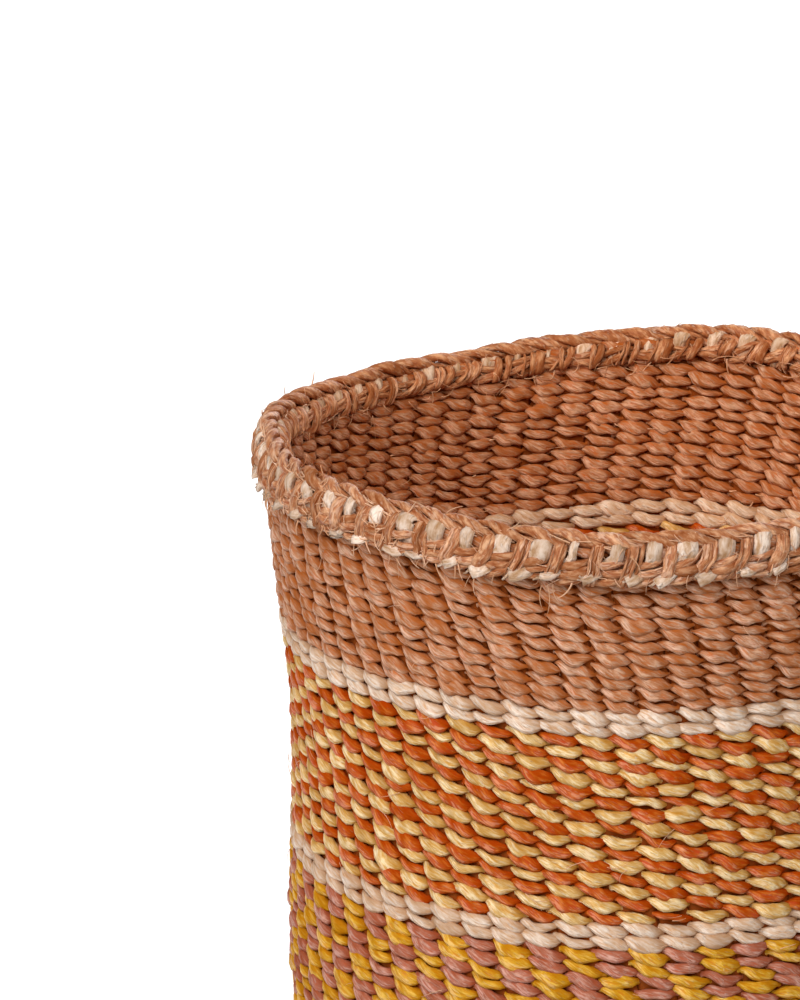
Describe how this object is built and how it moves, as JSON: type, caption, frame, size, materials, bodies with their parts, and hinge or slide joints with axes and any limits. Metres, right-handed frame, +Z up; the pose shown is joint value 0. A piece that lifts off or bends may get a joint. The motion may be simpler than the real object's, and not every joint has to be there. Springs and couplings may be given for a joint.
{
  "type": "twined sisal basket",
  "caption": "Round open basket of twined sisal with a slight waist, striped and checked yarn bands, folded warp ends and a twisted cord rim.",
  "frame": {"origin": "centre of the flat underside, on the surface the basket stands on", "axes": "+Z up along the basket's axis, out of its mouth"},
  "size_m": [0.2008, 0.2008, 0.1997],
  "materials": {
    "tan_base_yarn": "twined two-ply sisal, tan, the base",
    "tan_yarn": "twined two-ply sisal, tan, soft sheen on the fibres",
    "cream_yarn": "twined two-ply sisal, undyed cream with a pink cast",
    "mustard_mauve_yarn": "mustard and mauve two-ply sisal in checks one warp wide and two rows high",
    "orange_straw_yarn": "burnt orange and straw two-ply sisal in alternate stitches",
    "warp_fibre": "undyed sisal bundles, folded over and cut",
    "rim_tan_fibre": "loosely laid tan sisal with loose fibres"
  },
  "bodies": {
    "root": {"base_start": "tan_base_yarn", "base_weave": "tan_base_yarn", "lower_tan_band": "tan_yarn", "lower_cream_stripe": "cream_yarn", "mustard_mauve_band": "mustard_mauve_yarn", "middle_cream_stripe": "cream_yarn", "orange_straw_band": "orange_straw_yarn", "upper_cream_stripe": "cream_yarn", "upper_tan_band": "tan_yarn", "folded_warp_ends": "warp_fibre", "rim_binding": "rim_tan_fibre", "rim_cord_strand_a": "rim_tan_fibre", "rim_cord_strand_b": "rim_tan_fibre"}
  },
  "joints": []
}
